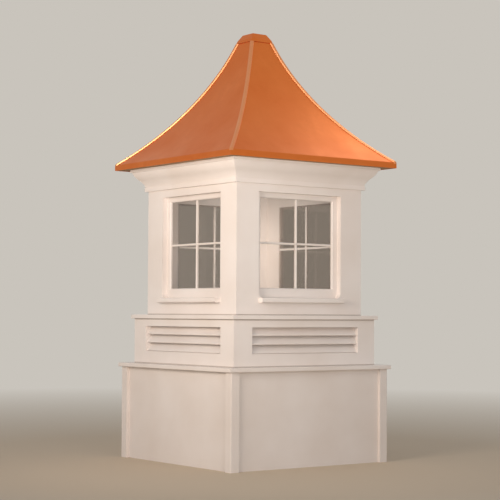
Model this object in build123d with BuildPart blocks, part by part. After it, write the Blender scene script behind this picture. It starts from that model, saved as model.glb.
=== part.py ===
"""A square roof cupola: a panelled base, a louvered stage, a windowed stage and a concave copper roof.

The origin is at the middle of the base's bottom face, +Z is up and the front looks along -Y.
All sizes are in millimetres.
"""

import os
from math import cos, hypot, radians, sin, sqrt

from build123d import *

# Sides, as turns about the upright axis from the front
SIDES = {"front": 0, "right": 90, "back": 180, "left": 270}
# Corners, by the side that has each at its right end
CORNERS = {"front_right": "front", "back_right": "right", "back_left": "back", "front_left": "left"}

# Base stage
BASE_WIDTH = 914.0
BASE_HEIGHT = 440.0
PANEL_THICKNESS = 19.0
CORNER_BOARD_WIDTH = 44.0
CORNER_BOARD_THICKNESS = 16.0
CORNER_BOARD_EDGE = 3.0

# Cap boards, the ledges on which the two upper stages stand
CAP_BOARD_THICKNESS = 19.0
CAP_BOARD_OVERHANG = 13.0
CAP_BOARD_EDGE = 2.0

# Louver stage
LOUVER_SETBACK = 44.0
LOUVER_STAGE_HEIGHT = 215.0
STAGE_WALL = 44.0
LOUVER_OPENING_WIDTH = 622.0
LOUVER_OPENING_HEIGHT = 120.0
LOUVER_OPENING_LIFT = 59.0
BLADE_COUNT = 3
BLADE_WIDTH = 48.0
BLADE_THICKNESS = 8.0
BLADE_NOSE = 3.2
BLADE_SLOPE = 50.0
BLADE_RECESS = 6.0

# Window stage
WINDOW_SETBACK = 45.0
WINDOW_STAGE_HEIGHT = 707.0
WINDOW_OPENING = 484.0
WINDOW_LIFT = 80.0
WINDOW_CORNER = 24.0
SASH_RECESS = 28.0
SASH_THICKNESS = 16.0
SASH_STILE = 30.0
SASH_TOP_RAIL = 25.0
SASH_BOTTOM_RAIL = 45.0
SASH_BEVEL = 4.0
GLASS_THICKNESS = 4.0
GLASS_LAP = 8.0
SILL_THICKNESS = 23.0
SILL_REACH = 29.0
SILL_NOSE = 6.0

# Crown moulding, mitred round the top of the window stage
CROWN_HEIGHT = 107.0
CROWN_REACH = 66.0
CROWN_FOOT = 14.0
CROWN_FOOT_HEIGHT = 20.0
CROWN_QUIRK = 4.0
CROWN_STEP = 7.0
CROWN_LIP_HEIGHT = 13.0
CROWN_SAG = 3.0

# Roof, a square pyramid whose four faces are hollow curves
EAVE_OVERHANG = 54.0
FASCIA_DROP = 2.0
EAVE_RISE = 24.0
EAVE_BEND = 10.0
ROOF_RADIUS = 1320.0
ROOF_RISE = 588.0
ROOF_TOP_WIDTH = 122.0
COPPER = 2.0
DECK_THICKNESS = 12.0
DECK_EAVE = 45.0
HIP_LEG = 9.0
HIP_HEIGHT = 4.0

# Roof cap, folded over the meeting of the four faces
CAP_LAP = 14.0
CAP_HEIGHT = 43.0
CAP_TOP_WIDTH = 80.0
CAP_BEND = 6.0
CAP_CLEARANCE = 0.5
PEAK_BLOCK_DEPTH = 30.0

# Heights of the seats, from the ground up
base_cap_bottom = BASE_HEIGHT
louver_stage_bottom = base_cap_bottom + CAP_BOARD_THICKNESS
louver_cap_bottom = louver_stage_bottom + LOUVER_STAGE_HEIGHT
window_stage_bottom = louver_cap_bottom + CAP_BOARD_THICKNESS
soffit = window_stage_bottom + WINDOW_STAGE_HEIGHT
crown_bottom = soffit - CROWN_HEIGHT
fascia_bottom = soffit - FASCIA_DROP
eave_top = soffit + EAVE_RISE
cap_bottom = eave_top + ROOF_RISE
panel_top = cap_bottom + CAP_LAP
cap_top = cap_bottom + CAP_HEIGHT

# Half widths, from the axis outwards
base_half = BASE_WIDTH / 2
panel_half = base_half - CORNER_BOARD_THICKNESS
louver_half = base_half - LOUVER_SETBACK
window_half = louver_half - WINDOW_SETBACK
crown_half = window_half + CROWN_REACH
eave_half = crown_half + EAVE_OVERHANG
roof_top_half = ROOF_TOP_WIDTH / 2

# Heights inside the stages
louver_opening_middle = louver_stage_bottom + LOUVER_OPENING_LIFT + LOUVER_OPENING_HEIGHT / 2
window_bottom = window_stage_bottom + WINDOW_LIFT
window_middle = window_bottom + WINDOW_OPENING / 2


def outwards(turn):
    """Direction that one side looks in."""
    return Vector(0, -1, 0).rotate(Axis.Z, turn)


def facing(turn, reach, height=0.0):
    """Upright plane on one side, that far from the axis: x runs along the side, y up, z outwards."""
    origin = outwards(turn) * reach + Vector(0, 0, height)
    return Plane(origin=origin, x_dir=Vector(1, 0, 0).rotate(Axis.Z, turn), z_dir=outwards(turn))


def lying(turn, height=0.0):
    """Level plane: x runs along the side and -y points out of it."""
    return Plane(origin=(0, 0, height), x_dir=Vector(1, 0, 0).rotate(Axis.Z, turn), z_dir=(0, 0, 1))


def cross(turn):
    """Upright plane across one side, through the axis: x points out of the side and y up."""
    return Plane(origin=(0, 0, 0), x_dir=outwards(turn), z_dir=outwards(turn).cross(Vector(0, 0, 1)))


def front_face(piece, turn):
    """The face of a piece that lies furthest out of its side."""
    return piece.faces().sort_by(Axis((0, 0, 0), outwards(turn)))[-1]


def save(piece, name):
    """Name a finished piece and write it."""
    piece.part.label = name
    export_step(piece.part, f"parts/{name}.step")


def mitred_plan(turn, height, outer_half, thickness):
    """Plan of one side's wall, cut at 45 degrees where it meets its neighbours."""
    inner_half = outer_half - thickness
    with BuildSketch(lying(turn, height)) as plan:
        with BuildLine():
            Polyline(
                (-outer_half, -outer_half),
                (outer_half, -outer_half),
                (inner_half, -inner_half),
                (-inner_half, -inner_half),
                close=True,
            )
        make_face()
    return plan.sketch


def mitre_wedge(turn, reach, low, high):
    """The quarter that one side takes of the whole, from the axis out to the two diagonals."""
    with BuildPart() as wedge:
        with BuildSketch(lying(turn, low)):
            with BuildLine():
                Polyline((0, 0), (-reach, -reach), (reach, -reach), close=True)
            make_face()
        extrude(amount=high - low)
    return wedge.part


def window_outline(shrink=0.0):
    """Outline of a window opening about its middle: square above, rounded at the two lower corners."""
    width = WINDOW_OPENING - 2 * shrink
    with BuildSketch() as outline:
        Rectangle(width, width)
        fillet(outline.vertices().group_by(Axis.Y)[0], WINDOW_CORNER - shrink)
    return outline.sketch


def base_panel(side, turn):
    """Plain board that closes one side of the base."""
    with BuildPart() as panel:
        add(mitred_plan(turn, 0, panel_half, PANEL_THICKNESS))
        extrude(amount=BASE_HEIGHT)
    save(panel, f"{side}_base_panel")


def corner_board(corner, turn):
    """Angle board that wraps the corner at the right end of one side of the base."""
    with BuildPart() as board:
        with BuildSketch(lying(turn)) as plan:
            with Locations((base_half, -base_half)):
                Rectangle(CORNER_BOARD_WIDTH, CORNER_BOARD_WIDTH, align=(Align.MAX, Align.MIN))
            fillet(plan.vertices().sort_by(SortBy.DISTANCE)[-1], CORNER_BOARD_EDGE)
            with Locations((panel_half, -panel_half)):
                Rectangle(
                    CORNER_BOARD_WIDTH,
                    CORNER_BOARD_WIDTH,
                    align=(Align.MAX, Align.MIN),
                    mode=Mode.SUBTRACT,
                )
        extrude(amount=BASE_HEIGHT)
    save(board, f"{corner}_corner_board")


def cap_board(name, bottom, stage_half, wall_half):
    """Ledge ring: it overhangs the stage below and carries the walls of the stage above."""
    outer = 2 * (stage_half + CAP_BOARD_OVERHANG)
    inner = 2 * (wall_half - STAGE_WALL)
    with BuildPart() as board:
        with BuildSketch(Plane.XY.offset(bottom)):
            Rectangle(outer, outer)
            Rectangle(inner, inner, mode=Mode.SUBTRACT)
        extrude(amount=CAP_BOARD_THICKNESS)
        level_faces = board.faces().filter_by(Axis.Z)
        chamfer([edge for face in level_faces for edge in face.outer_wire().edges()], CAP_BOARD_EDGE)
    save(board, name)


def louver_wall(side, turn):
    """Wall of the louver stage, with one long low opening."""
    with BuildPart() as wall:
        add(mitred_plan(turn, louver_stage_bottom, louver_half, STAGE_WALL))
        extrude(amount=LOUVER_STAGE_HEIGHT)
        with BuildSketch(facing(turn, louver_half, louver_opening_middle)):
            Rectangle(LOUVER_OPENING_WIDTH, LOUVER_OPENING_HEIGHT)
        extrude(amount=-STAGE_WALL, mode=Mode.SUBTRACT)
    save(wall, f"{side}_louver_wall")


def louver_blades(side, turn):
    """Sloping slats, each seated in both ends of the opening and shedding water outwards."""
    pitch = LOUVER_OPENING_HEIGHT / BLADE_COUNT
    slope = radians(BLADE_SLOPE)
    run = BLADE_WIDTH * cos(slope) + BLADE_THICKNESS * sin(slope)
    middle = louver_half - BLADE_RECESS - run / 2
    with BuildPart() as blades:
        with BuildSketch(cross(turn)):
            with Locations((middle, louver_opening_middle)):
                with GridLocations(1, pitch, 1, BLADE_COUNT):
                    RectangleRounded(BLADE_WIDTH, BLADE_THICKNESS, BLADE_NOSE, rotation=-BLADE_SLOPE)
        extrude(amount=LOUVER_OPENING_WIDTH / 2, both=True)
    save(blades, f"{side}_louver_blades")


def window_wall(side, turn):
    """Wall of the window stage, with one window cut through it."""
    with BuildPart() as wall:
        add(mitred_plan(turn, window_stage_bottom, window_half, STAGE_WALL))
        extrude(amount=WINDOW_STAGE_HEIGHT)
        with BuildSketch(facing(turn, window_half, window_middle)):
            add(window_outline())
        extrude(amount=-STAGE_WALL, mode=Mode.SUBTRACT)
    save(wall, f"{side}_window_wall")


def glass_size():
    """Width, height and middle height of the pane's bed in a sash."""
    width = WINDOW_OPENING - 2 * SASH_STILE + 2 * GLASS_LAP
    height = WINDOW_OPENING - SASH_TOP_RAIL - SASH_BOTTOM_RAIL + 2 * GLASS_LAP
    middle = window_middle + (SASH_BOTTOM_RAIL - SASH_TOP_RAIL) / 2
    return width, height, middle


def window_sash(side, turn):
    """Fixed sash that fills the opening behind its reveal, rebated at the back for the pane."""
    bed_width, bed_height, bed_middle = glass_size()
    with BuildPart() as sash:
        with BuildSketch(facing(turn, window_half - SASH_RECESS, window_middle)):
            add(window_outline())
        extrude(amount=-SASH_THICKNESS)
        with BuildSketch(facing(turn, window_half - SASH_RECESS, bed_middle)):
            Rectangle(bed_width - 2 * GLASS_LAP, bed_height - 2 * GLASS_LAP)
        extrude(amount=-SASH_THICKNESS, mode=Mode.SUBTRACT)
        chamfer(front_face(sash, turn).inner_wires()[0].edges(), SASH_BEVEL)
        with BuildSketch(facing(turn, window_half - SASH_RECESS - SASH_THICKNESS, bed_middle)):
            Rectangle(bed_width, bed_height)
        extrude(amount=GLASS_THICKNESS, mode=Mode.SUBTRACT)
    save(sash, f"{side}_window_sash")


def window_glass(side, turn):
    """Pane, bedded in the back of its sash."""
    width, height, middle = glass_size()
    with BuildPart() as glass:
        with BuildSketch(facing(turn, window_half - SASH_RECESS - SASH_THICKNESS, middle)):
            Rectangle(width, height)
        extrude(amount=GLASS_THICKNESS)
    save(glass, f"{side}_window_glass")


def window_sill(side, turn):
    """Sill planted on the wall's face, flush with the bottom of the opening."""
    with BuildPart() as sill:
        with BuildSketch(cross(turn)) as section:
            with Locations((window_half, window_bottom)):
                Rectangle(SILL_REACH, SILL_THICKNESS, align=(Align.MIN, Align.MAX))
            fillet(section.vertices().group_by(Axis.X)[-1], SILL_NOSE)
        extrude(amount=WINDOW_OPENING / 2, both=True)
    save(sill, f"{side}_window_sill")


def crown_length(side, turn):
    """One mitred length of crown moulding: a foot, a quirk, an ogee, a step and a lip under the soffit."""
    foot = (window_half + CROWN_FOOT, crown_bottom + CROWN_FOOT_HEIGHT)
    quirk = (foot[0] - CROWN_QUIRK, foot[1])
    shoulder = (crown_half - CROWN_STEP, soffit - CROWN_LIP_HEIGHT)
    waist = ((quirk[0] + shoulder[0]) / 2, (quirk[1] + shoulder[1]) / 2)
    with BuildPart() as crown:
        with BuildSketch(cross(turn)):
            with BuildLine():
                Polyline(
                    (window_half, soffit),
                    (window_half, crown_bottom),
                    (window_half + CROWN_FOOT, crown_bottom),
                    foot,
                    quirk,
                )
                SagittaArc(quirk, waist, CROWN_SAG)
                SagittaArc(waist, shoulder, -CROWN_SAG)
                Polyline(
                    shoulder,
                    (crown_half, soffit - CROWN_LIP_HEIGHT),
                    (crown_half, soffit),
                    (window_half, soffit),
                )
            make_face()
        extrude(amount=crown_half, both=True)
        add(mitre_wedge(turn, crown_half, crown_bottom, soffit), mode=Mode.INTERSECT)
    save(crown, f"{side}_crown")


def roof_curve_centre():
    """Centre of the roof's section arc, outside and above the eave, in (out, up) from the axis."""
    out = (eave_half + roof_top_half) / 2
    up = (eave_top + cap_bottom) / 2
    across = eave_half - roof_top_half
    rise = cap_bottom - eave_top
    chord = hypot(across, rise)
    stand_off = sqrt(ROOF_RADIUS**2 - (chord / 2) ** 2)
    return out + stand_off * rise / chord, up + stand_off * across / chord


def roof_half(height, inset):
    """Half width of the roof's curved faces at one level, with the faces set in by inset."""
    centre_out, centre_up = roof_curve_centre()
    return centre_out - sqrt((ROOF_RADIUS + inset) ** 2 - (centre_up - height) ** 2)


def roof_body(inset, half, low, high, bend=0.0):
    """Everything under the roof's curved faces set in by inset, between two levels.

    A bend rounds the edge where the faces turn down to upright sides.
    """
    centre_out, centre_up = roof_curve_centre()
    with BuildPart() as body:
        for plane, mode in ((Plane.XZ, Mode.ADD), (Plane.YZ, Mode.INTERSECT)):
            with BuildSketch(plane) as section:
                with Locations((0, low)):
                    Rectangle(2 * half, high - low, align=(Align.CENTER, Align.MIN))
                with Locations((centre_out, centre_up), (-centre_out, centre_up)):
                    Circle(ROOF_RADIUS + inset, mode=Mode.SUBTRACT)
                if bend:
                    fillet(section.vertices().group_by(Axis.Y)[1], bend)
            extrude(amount=half, both=True, mode=mode)
    return body.part


def square_block(width, low, high):
    """Upright square block on the axis."""
    with BuildPart() as block:
        with BuildSketch(Plane.XY.offset(low)):
            Rectangle(width, width)
        extrude(amount=high - low)
    return block.part


def cap_crest(inset):
    """The cap above its skirt, set in by inset: four faces drawn in and bent over to a flat top."""
    foot_half = roof_half(panel_top, inset - COPPER - CAP_CLEARANCE)
    top_half = CAP_TOP_WIDTH / 2 - inset
    with BuildPart() as crest:
        for plane, mode in ((Plane.XZ, Mode.ADD), (Plane.YZ, Mode.INTERSECT)):
            with BuildSketch(plane) as section:
                with BuildLine():
                    Polyline(
                        (-foot_half, panel_top),
                        (foot_half, panel_top),
                        (top_half, cap_top - inset),
                        (-top_half, cap_top - inset),
                        close=True,
                    )
                make_face()
                fillet(section.vertices().group_by(Axis.Y)[-1], CAP_BEND - inset)
            extrude(amount=foot_half, both=True, mode=mode)
    return crest.part


def roof_deck():
    """Wooden form under the copper: curved faces, an eave frame and soffit, and a peak block."""
    outside = roof_body(COPPER, eave_half - COPPER, soffit, panel_top, EAVE_BEND - COPPER)
    inset = COPPER + DECK_THICKNESS
    hollow_half = eave_half - COPPER - DECK_EAVE
    hollow = roof_body(inset, hollow_half, soffit + DECK_THICKNESS, cap_bottom - PEAK_BLOCK_DEPTH)
    way_in = square_block(2 * (window_half - STAGE_WALL), soffit, soffit + DECK_THICKNESS)
    peak = cap_crest(COPPER)
    with BuildPart() as deck:
        add(outside)
        add(hollow, mode=Mode.SUBTRACT)
        add(way_in, mode=Mode.SUBTRACT)
        add(peak)
    save(deck, "roof_deck")


def roof_panel(side, turn):
    """Copper sheet over one side of the roof, bent down over the deck's edge as a fascia."""
    outside = roof_body(0, eave_half, fascia_bottom, panel_top, EAVE_BEND)
    underside = roof_body(COPPER, eave_half - COPPER, fascia_bottom, panel_top, EAVE_BEND - COPPER)
    wedge = mitre_wedge(turn, eave_half, fascia_bottom, panel_top)
    with BuildPart() as panel:
        add(outside)
        add(underside, mode=Mode.SUBTRACT)
        add(wedge, mode=Mode.INTERSECT)
    save(panel, f"{side}_roof_panel")


def hip_seams():
    """Folded copper strips over the four hips, from the bend of the eave up to the cap."""
    outside = roof_body(-HIP_HEIGHT, eave_half, fascia_bottom, cap_bottom, EAVE_BEND + HIP_HEIGHT)
    inside = roof_body(0, eave_half, fascia_bottom, cap_bottom, EAVE_BEND)
    with BuildPart() as seams:
        add(outside)
        add(inside, mode=Mode.SUBTRACT)
        with BuildSketch(Plane.XY.offset(fascia_bottom)):
            Rectangle(2 * sqrt(2) * eave_half, 2 * HIP_LEG, rotation=45)
            Rectangle(2 * sqrt(2) * eave_half, 2 * HIP_LEG, rotation=135)
        extrude(amount=cap_bottom - fascia_bottom, mode=Mode.INTERSECT)
    save(seams, "hip_seams")


def roof_cap():
    """Small folded copper cap with a flat top, its skirt lapping the four faces."""
    skirt = roof_body(-COPPER - CAP_CLEARANCE, eave_half, cap_bottom, panel_top)
    skirt_inside = roof_body(-CAP_CLEARANCE, eave_half, cap_bottom, panel_top)
    crest = cap_crest(0)
    crest_inside = cap_crest(COPPER)
    with BuildPart() as cap:
        add([skirt, crest])
        add([skirt_inside, crest_inside], mode=Mode.SUBTRACT)
    save(cap, "roof_cap")


os.makedirs("parts", exist_ok=True)

for side, turn in SIDES.items():
    base_panel(side, turn)
    louver_wall(side, turn)
    louver_blades(side, turn)
    window_wall(side, turn)
    window_sash(side, turn)
    window_glass(side, turn)
    window_sill(side, turn)
    crown_length(side, turn)
    roof_panel(side, turn)
for corner, side in CORNERS.items():
    corner_board(corner, SIDES[side])
cap_board("base_cap", base_cap_bottom, base_half, louver_half)
cap_board("louver_cap", louver_cap_bottom, louver_half, window_half)
roof_deck()
hip_seams()
roof_cap()
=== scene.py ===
"""Looks of a square roof cupola: white PVC boards, clear panes and a copper roof.

Everything is in metres in the frame of the solids: +Z up, the front looks along -Y and the
origin is at the middle of the base's bottom face.
"""

import math

import bmesh
import bpy
from mathutils import Matrix, Vector


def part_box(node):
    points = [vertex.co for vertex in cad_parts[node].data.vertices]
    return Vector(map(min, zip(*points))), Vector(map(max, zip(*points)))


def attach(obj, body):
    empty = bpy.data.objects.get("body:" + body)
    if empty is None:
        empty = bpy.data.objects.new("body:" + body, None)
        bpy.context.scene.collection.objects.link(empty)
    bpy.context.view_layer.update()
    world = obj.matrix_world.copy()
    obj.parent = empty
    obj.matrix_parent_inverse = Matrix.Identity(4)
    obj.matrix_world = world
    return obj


MM = 0.001
SIDES = {"front": 0, "right": 90, "back": 180, "left": 270}
CORNERS = ("front_right", "back_right", "back_left", "front_left")

# Camera, set where the photograph was taken from
CAMERA_AZIMUTH = -36.6
CAMERA_DISTANCE = 7.24
EYE_HEIGHT = 0.698
LENS_MM = 107.8
SENSOR_MM = 36.0
CAMERA_PITCH = 2.45
CAMERA_YAW = 0.13
CAMERA_ROLL = 0.3

# Glazing bars: the outer ones stop a little behind the sash's face, the inner ones are shallow;
# GLASS_LAP is how far each edge of a pane reaches into its sash
BAR_WIDTH = 9.5 * MM
BAR_SETBACK = 5 * MM
BAR_BEVEL = 2.5 * MM
INNER_BAR_WIDTH = 10 * MM
INNER_BAR_DEPTH = 3 * MM
GLASS_LAP = 8 * MM

# Shadow lines in the joints between the stages
JOINT_WIDTH = 4 * MM

# Colours, as sRGB hex
PVC_TONES = ("E9E1DC", "E2D8D1")
# Painted shade in the joints where the walls meet the ledges
JOINT_SHADE = "AFA39B"
COPPER_TONES = ("F38A46", "E67C39", "EB823F")
# Paler copper on the hip seams: a painted highlight where the seams catch the light
HIP_HIGHLIGHT_TONES = ("F5AA79", "EE9E6D", "F1A371")
NEAR_GLASS = "ECE9E5"
# Painted shade: the darker tint of what is seen through a second pane
SECOND_PANE_SHADE = "A69C94"
PLYWOOD_TONES = ("B08A5E", "94704A")
FLOOR = "C9B8A2"
ROOM = "EFF0F2"
BACKDROP = "C9C4BC"

# Floor, in metres: its radius and the distances between which it fades into the backdrop
FLOOR_RADIUS = 60
FADE_START = 1.5
FADE_END = 7

# Brightness of the room that lights the matt surfaces
ROOM_STRENGTH = 0.5


# Colours and nodes


def linear(hex_code):
    """An sRGB hex colour as the linear colour that a shader wants."""
    channels = []
    for start in (0, 2, 4):
        value = int(hex_code[start:start + 2], 16) / 255
        channels.append(value / 12.92 if value <= 0.04045 else ((value + 0.055) / 1.055) ** 2.4)
    return (*channels, 1.0)


def add_node(tree, kind, inputs=None, **settings):
    """Add a node with its settings.

    inputs maps sockets to values, or to the outputs that they are linked from.
    """
    node = tree.nodes.new(kind)
    for name, value in settings.items():
        setattr(node, name, value)
    for socket, value in (inputs or {}).items():
        if isinstance(value, bpy.types.NodeSocket):
            tree.links.new(value, node.inputs[socket])
        else:
            node.inputs[socket].default_value = value
    return node


def new_material(name):
    """An empty node material, with its output node and the point on the object in metres."""
    material = bpy.data.materials.new(name)
    material.use_nodes = True
    tree = material.node_tree
    tree.nodes.clear()
    output = add_node(tree, "ShaderNodeOutputMaterial")
    point = add_node(tree, "ShaderNodeTexCoord").outputs["Object"]
    return material, tree, output, point


def noise(tree, point, size_mm, detail=2.0, roughness=0.5, stretch=(1, 1, 1)):
    """Noise whose cells are about size_mm across, stretched along the axes."""
    scaled = add_node(tree, "ShaderNodeMapping", {"Vector": point, "Scale": stretch})
    return add_node(
        tree,
        "ShaderNodeTexNoise",
        {
            "Vector": scaled.outputs["Vector"],
            "Scale": 1 / (size_mm * MM),
            "Detail": detail,
            "Roughness": roughness,
        },
    ).outputs["Fac"]


def combine(tree, operation, *values):
    """The result of a math operation on one or two values."""
    return add_node(
        tree, "ShaderNodeMath", dict(enumerate(values)), operation=operation
    ).outputs[0]


def remap(tree, value, low, high, to_low=0.0, to_high=1.0):
    """Stretch a value's range from low..high to to_low..to_high."""
    return add_node(
        tree,
        "ShaderNodeMapRange",
        {"Value": value, "From Min": low, "From Max": high, "To Min": to_low, "To Max": to_high},
    ).outputs["Result"]


def mix_colours(tree, factor, first, second):
    """Mix two colours by a factor."""
    node = add_node(tree, "ShaderNodeMix", data_type="RGBA")
    for socket, value in ((0, factor), (6, first), (7, second)):
        if isinstance(value, bpy.types.NodeSocket):
            tree.links.new(value, node.inputs[socket])
        else:
            node.inputs[socket].default_value = value
    return node.outputs[2]


def painted_joint_shade(tree, point, heights):
    """Mask of the thin painted shade lines along the joints at the given heights."""
    level = add_node(tree, "ShaderNodeSeparateXYZ", {"Vector": point}).outputs["Z"]
    mask = None
    for height in heights:
        away = combine(tree, "ABSOLUTE", combine(tree, "SUBTRACT", level, height))
        line = remap(tree, away, JOINT_WIDTH / 2, JOINT_WIDTH * 1.5, 1, 0)
        mask = line if mask is None else combine(tree, "MAXIMUM", mask, line)
    return mask


def white_pvc(name, joints=()):
    """Cellular PVC board, extruded with a smooth skin: satin, warm white, faintly uneven in tone.

    Painted shade darkens the joints at the given heights to a thin grey line, where shade falls between
    the walls and the ledges.
    """
    material, tree, output, point = new_material(name)
    cloud = remap(tree, noise(tree, point, 300, detail=3), 0.35, 0.65)
    tone = mix_colours(tree, cloud, linear(PVC_TONES[0]), linear(PVC_TONES[1]))
    if joints:
        # painted shade: a thin grey line along the joints between the walls and the ledges
        tone = mix_colours(tree, painted_joint_shade(tree, point, joints), tone, linear(JOINT_SHADE))
    skin = noise(tree, point, 1.2, detail=1)
    wave = noise(tree, point, 160, detail=1)
    fine = add_node(tree, "ShaderNodeBump", {"Height": skin, "Strength": 0.04, "Distance": 0.0003})
    bump = add_node(
        tree,
        "ShaderNodeBump",
        {"Height": wave, "Strength": 0.1, "Distance": 0.004, "Normal": fine.outputs["Normal"]},
    )
    shader = add_node(
        tree,
        "ShaderNodeBsdfPrincipled",
        {
            "Base Color": tone,
            "Roughness": remap(tree, cloud, 0, 1, 0.44, 0.52),
            "IOR": 1.53,
            "Normal": bump.outputs["Normal"],
        },
    )
    tree.links.new(shader.outputs["BSDF"], output.inputs["Surface"])
    return material


def sheet_copper(name, tones):
    """New rolled copper sheet, bent by hand: orange metal, softly buckled, with duller patches.

    The first tone is the clean sheet, the second the handled patches, the third a fine mottle.
    """
    material, tree, output, point = new_material(name)
    patch = remap(tree, noise(tree, point, 260, detail=3, roughness=0.55), 0.36, 0.66)
    mottle = remap(tree, noise(tree, point, 38, detail=3, roughness=0.6), 0.3, 0.7)
    worn = mix_colours(tree, patch, linear(tones[0]), linear(tones[1]))
    tone = mix_colours(tree, mottle, worn, linear(tones[2]))
    buckle = noise(tree, point, 170, detail=1, stretch=(1, 1, 0.6))
    bump = add_node(tree, "ShaderNodeBump", {"Height": buckle, "Strength": 0.25, "Distance": 0.008})
    shader = add_node(
        tree,
        "ShaderNodeBsdfPrincipled",
        {
            "Base Color": tone,
            "Metallic": 1.0,
            "Roughness": remap(tree, patch, 0, 1, 0.36, 0.44),
            "Normal": bump.outputs["Normal"],
        },
    )
    tree.links.new(shader.outputs["BSDF"], output.inputs["Surface"])
    return material


def window_glass():
    """Float glass, clean and flat: the near pane looks clear. What is seen through a second
    pane is greyer: painted shade, a darker tint on rays that have already passed one pane.
    Light from lamps and walls goes straight through.
    """
    material, tree, output, point = new_material("clear_float_glass")
    film = remap(tree, noise(tree, point, 60, detail=3), 0.3, 0.7, 0.02, 0.06)
    rays = add_node(tree, "ShaderNodeLightPath").outputs
    # painted shade: rays that have already passed one pane get the darker tint
    second = combine(tree, "GREATER_THAN", rays["Transmission Depth"], 1.5)
    tint = mix_colours(tree, second, linear(NEAR_GLASS), linear(SECOND_PANE_SHADE))
    shader = add_node(
        tree,
        "ShaderNodeBsdfPrincipled",
        {
            "Base Color": tint,
            "Roughness": film,
            "IOR": 1.5,
            "Transmission Weight": 1.0,
        },
    )
    light = combine(tree, "MAXIMUM", rays["Is Shadow Ray"], rays["Is Diffuse Ray"])
    clear = add_node(tree, "ShaderNodeBsdfTransparent")
    pane = add_node(
        tree,
        "ShaderNodeMixShader",
        {0: light, 1: shader.outputs["BSDF"], 2: clear.outputs["BSDF"]},
    )
    tree.links.new(pane.outputs["Shader"], output.inputs["Surface"])
    return material


def plywood():
    """Bare softwood plywood, seen from below and through the panes: pale brown with long grain."""
    material, tree, output, point = new_material("bare_plywood")
    grain = noise(tree, point, 9, detail=4, stretch=(0.08, 1, 1))
    streaks = remap(tree, grain, 0.35, 0.65)
    tone = mix_colours(tree, streaks, linear(PLYWOOD_TONES[0]), linear(PLYWOOD_TONES[1]))
    shader = add_node(tree, "ShaderNodeBsdfPrincipled", {"Base Color": tone, "Roughness": 0.7})
    tree.links.new(shader.outputs["BSDF"], output.inputs["Surface"])
    return material


def dress(node, material):
    """Give a CAD node one material."""
    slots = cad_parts[node].data.materials
    slots.clear()
    slots.append(material)


# New pieces


def new_piece(name, mesh, material):
    """Turn a bmesh into a finished piece that rides on the cupola."""
    data = bpy.data.meshes.new(name)
    mesh.to_mesh(data)
    mesh.free()
    data.materials.append(material)
    piece = bpy.data.objects.new(name, data)
    bpy.context.scene.collection.objects.link(piece)
    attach(piece, "root")


def add_bar(mesh, size, centre, front):
    """A bar between two sides of a sash; the edges of its exposed face, at y = front, are bevelled."""
    made = bmesh.ops.create_cube(mesh, size=1.0)["verts"]
    bmesh.ops.scale(mesh, verts=made, vec=size)
    bmesh.ops.translate(mesh, verts=made, vec=centre)
    edges = {
        edge
        for corner in made
        for edge in corner.link_edges
        if all(abs(end.co.y - front) < 1e-6 for end in edge.verts)
    }
    bmesh.ops.bevel(
        mesh,
        geom=list(edges),
        offset=BAR_BEVEL,
        segments=2,
        profile=0.5,
        affect="EDGES",
        material=-1,
    )


def glazing_bars(side, turn, material):
    """The upright and the level bar that divide a window in four, on both faces of its pane."""
    glass_low, glass_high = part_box("front_window_glass")
    sash_low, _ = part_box("front_window_sash")
    height_middle = (glass_low.z + glass_high.z) / 2
    width = glass_high.x - glass_low.x - 2 * GLASS_LAP
    height = glass_high.z - glass_low.z - 2 * GLASS_LAP
    mesh = bmesh.new()
    for seat, front, thickness in (
        (glass_low.y, sash_low.y + BAR_SETBACK, BAR_WIDTH),
        (glass_high.y, glass_high.y + INNER_BAR_DEPTH, INNER_BAR_WIDTH),
    ):
        middle = (0, (seat + front) / 2, height_middle)
        add_bar(mesh, (thickness, abs(front - seat), height), middle, front)
        add_bar(mesh, (width, abs(front - seat), thickness), middle, front)
    bmesh.ops.rotate(mesh, verts=mesh.verts, matrix=Matrix.Rotation(math.radians(turn), 3, "Z"))
    new_piece(f"{side}_glazing_bars", mesh, material)


# Stage, lamps and camera


def lay_floor():
    """A wide pale floor that runs out into the backdrop."""
    mesh = bmesh.new()
    bmesh.ops.create_circle(mesh, cap_ends=True, segments=96, radius=FLOOR_RADIUS)
    data = bpy.data.meshes.new("floor")
    mesh.to_mesh(data)
    mesh.free()
    floor = bpy.data.objects.new("floor", data)
    bpy.context.scene.collection.objects.link(floor)
    material, tree, output, point = new_material("matt_floor")
    away = add_node(tree, "ShaderNodeVectorMath", {0: point}, operation="LENGTH").outputs["Value"]
    near = add_node(tree, "ShaderNodeBsdfPrincipled", {"Base Color": linear(FLOOR), "Roughness": 0.9})
    far = add_node(tree, "ShaderNodeEmission", {"Color": linear(BACKDROP), "Strength": 1.0})
    blend = add_node(
        tree,
        "ShaderNodeMixShader",
        {
            0: remap(tree, away, FADE_START, FADE_END),
            1: near.outputs["BSDF"],
            2: far.outputs["Emission"],
        },
    )
    tree.links.new(blend.outputs["Shader"], output.inputs["Surface"])
    data.materials.append(material)


def hang_lamp(name, place, aim, size, power, colour, spread=180, mirrored=True):
    """A square soft box at a place, turned to its aim; a smaller spread in degrees narrows its beam.

    Places and sizes are in metres and the power in watts. The camera sees no lamp, not through
    the panes either; mirrored lets gloss reflect it.
    """
    lamp = bpy.data.lights.new(name, "AREA")
    lamp.shape = "SQUARE"
    lamp.size = size
    lamp.energy = power
    lamp.color = linear(colour)[:3]
    lamp.spread = math.radians(spread)
    holder = bpy.data.objects.new(name, lamp)
    holder.location = place
    holder.rotation_euler = (Vector(aim) - Vector(place)).to_track_quat("-Z", "Y").to_euler()
    holder.visible_camera = False
    holder.visible_transmission = False
    holder.visible_glossy = mirrored
    bpy.context.scene.collection.objects.link(holder)


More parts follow.
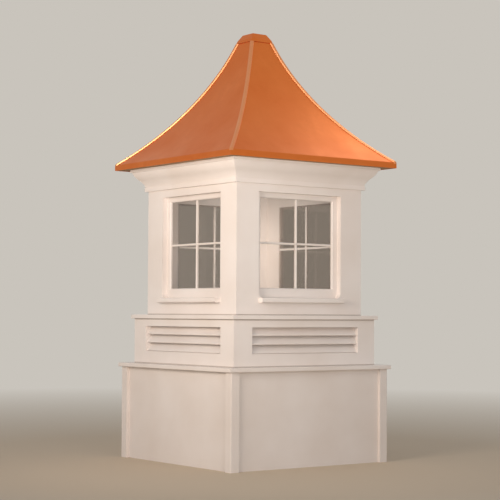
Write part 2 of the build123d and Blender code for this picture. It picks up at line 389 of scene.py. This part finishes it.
def light_studio():
    """An even room with a grey backdrop, and four soft boxes: the key at the left, a weaker fill at the
    front, one over the roof's right side, and one inside that brightens what shows through the panes.
    """
    world = bpy.data.worlds.new("studio")
    world.use_nodes = True
    tree = world.node_tree
    tree.nodes.clear()
    rays = add_node(tree, "ShaderNodeLightPath").outputs
    indirect = combine(tree, "MAXIMUM", rays["Is Glossy Ray"], rays["Is Transmission Ray"])
    seen = combine(tree, "MAXIMUM", indirect, rays["Is Camera Ray"])
    room = add_node(tree, "ShaderNodeBackground", {"Color": linear(ROOM), "Strength": ROOM_STRENGTH})
    backdrop = add_node(tree, "ShaderNodeBackground", {"Color": linear(BACKDROP), "Strength": 1.0})
    sky = add_node(
        tree,
        "ShaderNodeMixShader",
        {0: seen, 1: room.outputs["Background"], 2: backdrop.outputs["Background"]},
    )
    output = add_node(tree, "ShaderNodeOutputWorld")
    tree.links.new(sky.outputs["Shader"], output.inputs["Surface"])
    bpy.context.scene.world = world
    hang_lamp("key", (-2.7, -1.2, 1.4), (0, 0, 1.45), 1.2, 18, "FFF0E2", 100)
    hang_lamp("fill", (-1.2, -2.8, 0.8), (0, 0, 1.55), 1.0, 7.5, "FFF8F2", 100)
    hang_lamp("roof_light", (1.5, 0.0, 2.6), (0.3, -0.3, 1.5), 0.8, 2.8, "FFF8F0")
    hang_lamp(
        "inside", (-0.1, -0.2, 1.0), (0.3, 0.33, 1.05), 0.2, 1.05, "FFFAF6", 120, mirrored=False
    )


def place_camera():
    """The photograph's camera: far off, low and turned a little up."""
    azimuth = math.radians(CAMERA_AZIMUTH)
    data = bpy.data.cameras.new("camera")
    data.lens = LENS_MM
    data.sensor_width = SENSOR_MM
    camera = bpy.data.objects.new("camera", data)
    camera.location = (
        math.sin(azimuth) * CAMERA_DISTANCE,
        -math.cos(azimuth) * CAMERA_DISTANCE,
        EYE_HEIGHT,
    )
    level = Matrix.Rotation(azimuth + math.radians(CAMERA_YAW), 4, "Z")
    tilt = Matrix.Rotation(math.radians(90 + CAMERA_PITCH), 4, "X")
    roll = Matrix.Rotation(math.radians(CAMERA_ROLL), 4, "Z")
    camera.rotation_euler = (level @ tilt @ roll).to_euler()
    bpy.context.scene.collection.objects.link(camera)
    bpy.context.scene.camera = camera


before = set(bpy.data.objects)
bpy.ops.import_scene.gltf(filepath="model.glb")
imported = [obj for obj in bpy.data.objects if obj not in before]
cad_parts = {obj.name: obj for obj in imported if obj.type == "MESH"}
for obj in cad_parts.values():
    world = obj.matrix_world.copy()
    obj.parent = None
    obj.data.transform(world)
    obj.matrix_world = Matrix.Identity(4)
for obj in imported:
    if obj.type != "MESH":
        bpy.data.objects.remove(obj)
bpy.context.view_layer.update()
bpy.context.scene.view_settings.view_transform = "Standard"

pvc = white_pvc("white_pvc_board")
# Heights of the painted shade lines: the bottom and top of the louver and window walls
joints = [
    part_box(wall)[end].z for wall in ("front_louver_wall", "front_window_wall") for end in (0, 1)
]
wall_pvc = white_pvc("white_pvc_wall", joints)
copper = sheet_copper("rolled_sheet_copper", COPPER_TONES)
# the hip seams' paler copper is a painted highlight
copper_painted_highlight = sheet_copper("copper_painted_highlight", HIP_HIGHLIGHT_TONES)
glass = window_glass()
wood = plywood()
for side, turn in SIDES.items():
    for board in ("base_panel", "louver_blades", "window_sash", "window_sill", "crown"):
        dress(f"{side}_{board}", pvc)
    for board in ("louver_wall", "window_wall"):
        dress(f"{side}_{board}", wall_pvc)
    dress(f"{side}_window_glass", glass)
    dress(f"{side}_roof_panel", copper)
    glazing_bars(side, turn, pvc)
for corner in CORNERS:
    dress(f"{corner}_corner_board", pvc)
for ledge in ("base_cap", "louver_cap"):
    dress(ledge, pvc)
dress("hip_seams", copper_painted_highlight)
dress("roof_cap", copper)
dress("roof_deck", wood)

lay_floor()
light_studio()
place_camera()
